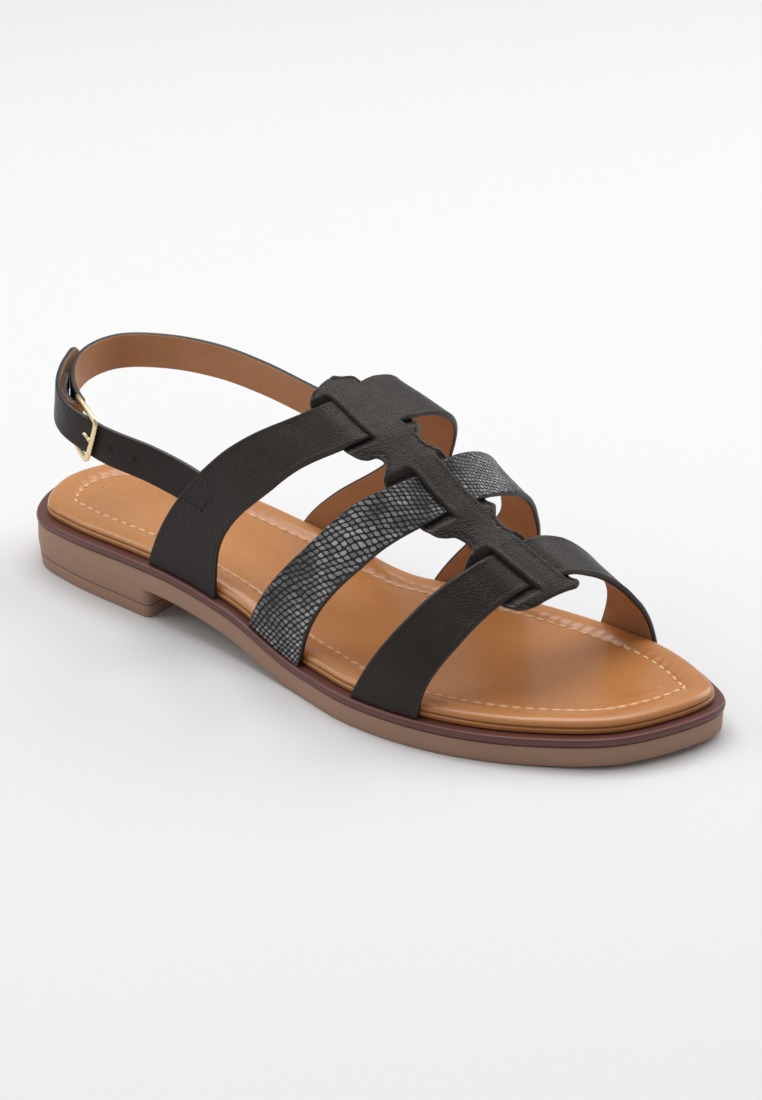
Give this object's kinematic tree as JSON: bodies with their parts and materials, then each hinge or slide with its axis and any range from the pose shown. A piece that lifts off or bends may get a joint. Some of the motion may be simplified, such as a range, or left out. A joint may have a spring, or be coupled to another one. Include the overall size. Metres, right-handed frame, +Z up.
{
  "type": "gladiator_sandal",
  "caption": "Right women's flat gladiator sandal: black leather cross straps threaded through a lobed centre piece, scaly middle strap, buckled ankle loop, tan padded footbed, low heel",
  "frame": {"origin": "on the floor under the heel, 30 mm ahead of the back of the sole, on the heel's middle line", "axes": "+X to the toe, +Y to the inner side of the right foot, +Z up"},
  "size_m": [0.2633, 0.0949, 0.0979],
  "materials": {
    "sole_rubber": "matt nude brown moulded rubber",
    "welt_brown": "satin dark red-brown",
    "leather_tan": "polished cognac leather",
    "leather_black": "fine-grained black leather with a soft sheen",
    "buckle_gold": "polished pale gold plate"
  },
  "bodies": {
    "root": {"outsole": "sole_rubber", "heel_lift": "sole_rubber", "welt": "welt_brown", "footbed": "leather_tan", "upper": "leather_black", "heel_strap": "leather_black", "buckle_end_strap": "leather_black", "buckle_frame": "buckle_gold", "buckle_prong": "buckle_gold"}
  },
  "joints": []
}
